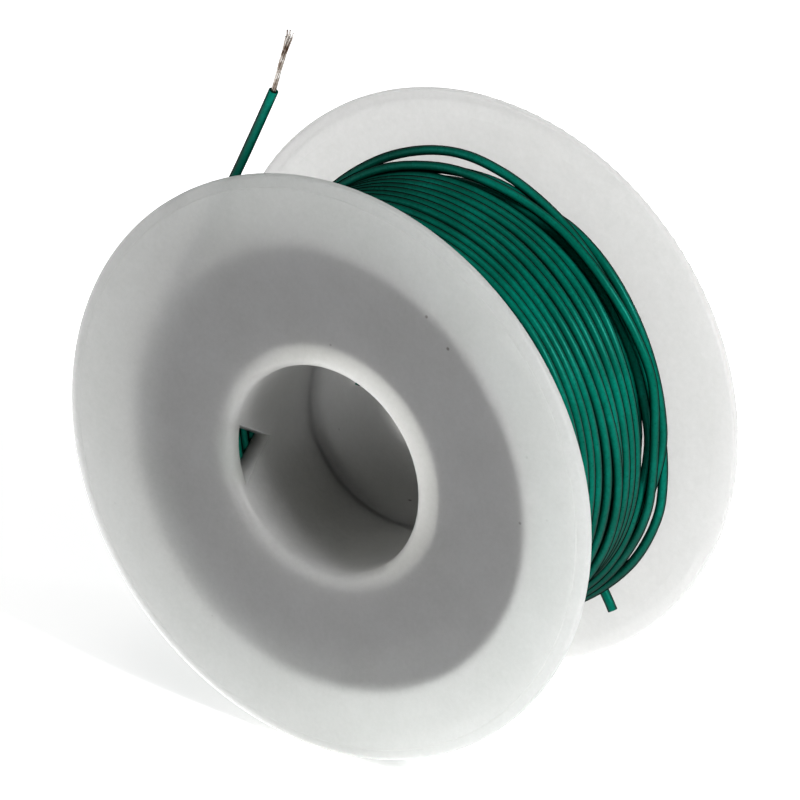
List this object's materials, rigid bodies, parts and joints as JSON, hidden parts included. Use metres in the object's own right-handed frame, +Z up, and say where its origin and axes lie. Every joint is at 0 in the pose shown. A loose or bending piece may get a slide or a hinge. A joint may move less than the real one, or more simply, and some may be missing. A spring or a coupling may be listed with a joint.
{
  "type": "wire spool",
  "caption": "Translucent moulded reel of green insulated hook-up wire, with a stripped stranded free end, a central spindle bore and wire notches in the barrel.",
  "frame": {"origin": "on the bore axis, half-way between the two flanges", "axes": "+Z up, +Y along the reel's axis towards the rear flange, the reel standing on its two rims"},
  "size_m": [0.075, 0.0348, 0.0911],
  "materials": {
    "reel_plastic": "translucent natural polypropylene with a fine frosted surface",
    "wire_insulation": "satin extruded PVC",
    "tinned_copper": "bright tinned copper strands",
    "cut_copper": "sheared copper ends"
  },
  "bodies": {
    "root": {"front_reel_half": "reel_plastic", "rear_reel_half": "reel_plastic", "wire_winding": "wire_insulation", "loose_turn": "wire_insulation", "start_tail": "wire_insulation", "tail_conductor": "cut_copper", "lead_insulation": "wire_insulation", "strand_1": "tinned_copper", "strand_2": "tinned_copper", "strand_3": "tinned_copper", "strand_4": "tinned_copper", "strand_5": "tinned_copper", "strand_6": "tinned_copper", "strand_7": "tinned_copper"}
  },
  "joints": []
}
